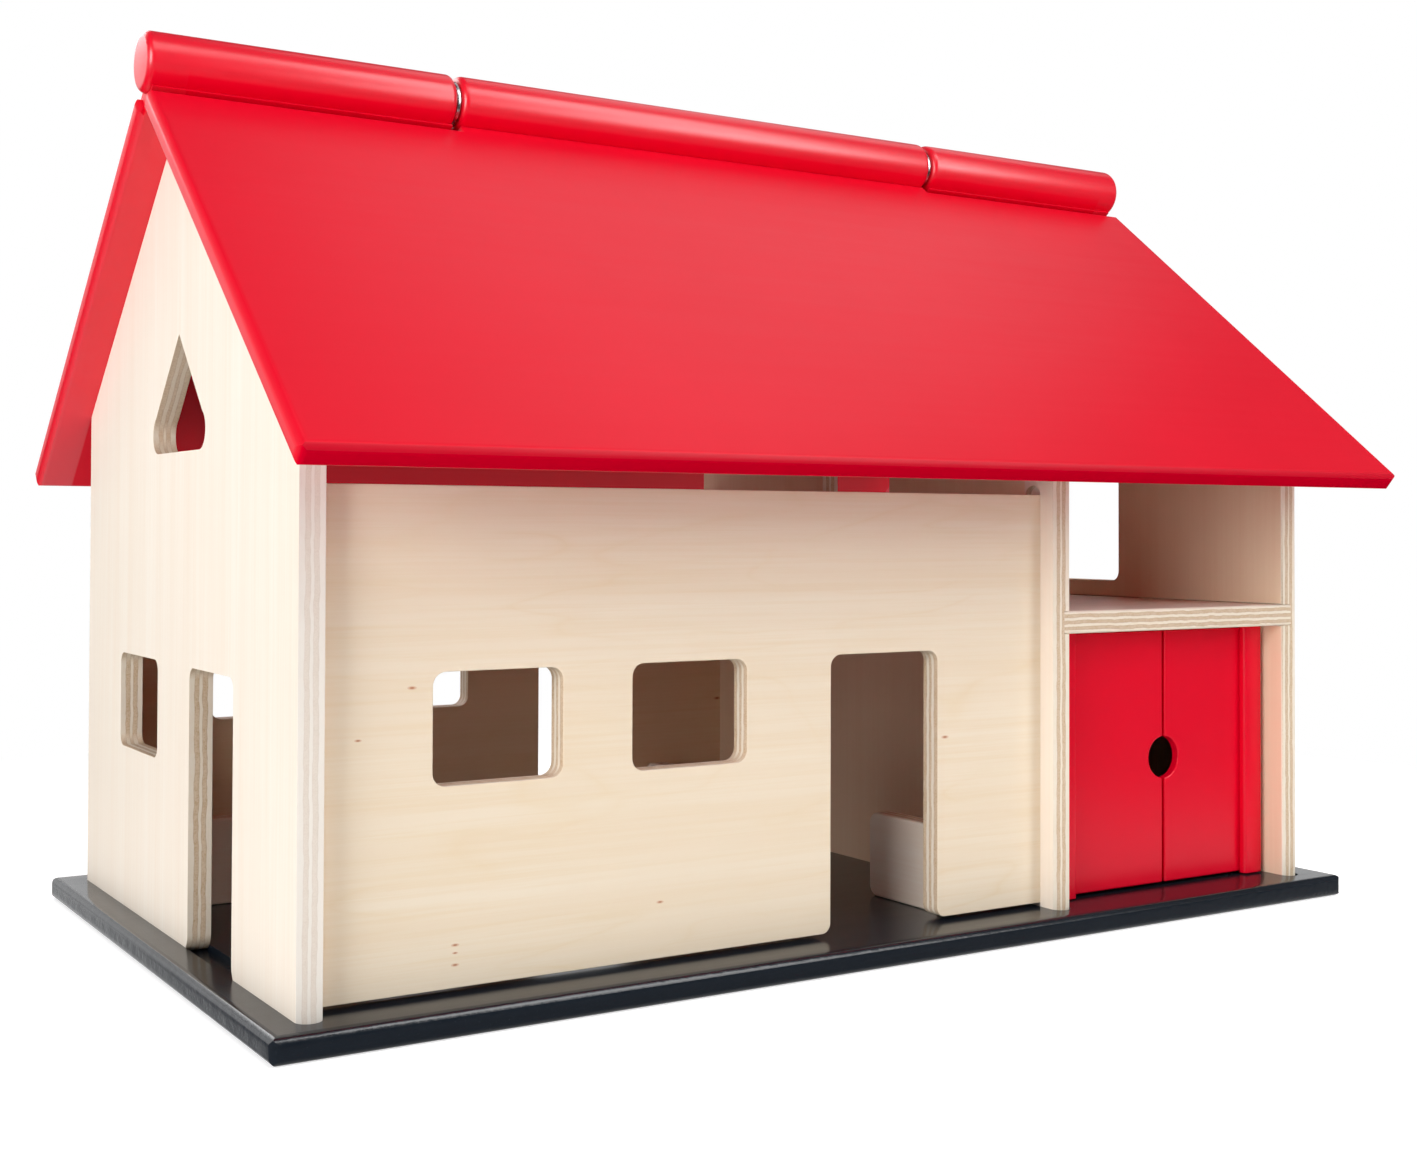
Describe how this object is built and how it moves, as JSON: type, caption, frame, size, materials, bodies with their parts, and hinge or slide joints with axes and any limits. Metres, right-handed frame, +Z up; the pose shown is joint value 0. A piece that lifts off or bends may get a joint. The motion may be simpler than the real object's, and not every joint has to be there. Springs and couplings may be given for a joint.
{
  "type": "toy barn",
  "caption": "Wooden toy barn on a board: plywood walls with windows and doorways, a loft, a hinged front roof half with a round knuckled ridge, and a pair of turning stable doors.",
  "frame": {"origin": "centre of the overall box on the plane the base rests on", "axes": "+X along the ridge from the house bay to the stable bay, +Y from the front to the back, +Z up"},
  "size_m": [0.6392, 0.4536, 0.4501],
  "materials": {
    "plywood": "clear satin varnish over birch-faced plywood",
    "red_paint": "satin red paint on wood",
    "black_paint": "semi-gloss black paint on wood",
    "dowel_wood": "bare beech",
    "steel": "bright zinc plated"
  },
  "bodies": {
    "house": {"base_board": "black_paint", "left_gable": "plywood", "right_gable": "plywood", "partition_wall": "plywood", "front_wall": "plywood", "back_wall": "plywood", "stable_back_wall": "plywood", "loft_floor": "plywood", "front_stall_board": "plywood", "left_stall_board": "plywood", "back_stall_board": "plywood", "rear_roof_panel": "red_paint", "rear_roof_dowels": "dowel_wood", "left_ridge_knuckle": "red_paint", "right_ridge_knuckle": "red_paint", "ridge_rod": "steel", "ridge_washers": "steel", "base_screws": "steel"},
    "front_roof": {"front_roof_panel": "red_paint", "middle_ridge_knuckle": "red_paint"},
    "left_door": {"left_door_stile": "red_paint", "left_door_leaf": "red_paint", "left_door_pins": "steel"},
    "right_door": {"right_door_stile": "red_paint", "right_door_leaf": "red_paint", "right_door_pins": "steel"}
  },
  "joints": [
    {"name": "front_roof_hinge", "type": "hinge", "parent": "house", "child": "front_roof", "pos_m": [0, 0, 0.43509], "axis": [-1, 0, 0], "range_deg": [0, 255]},
    {"name": "left_door_pivot", "type": "hinge", "parent": "house", "child": "left_door", "pos_m": [0.13175, -0.15325, 0.084], "axis": [0, 0, -1], "range_deg": [-95, 105]},
    {"name": "right_door_pivot", "type": "hinge", "parent": "house", "child": "right_door", "pos_m": [0.27825, -0.15325, 0.084], "axis": [0, 0, 1], "range_deg": [-95, 105]}
  ]
}
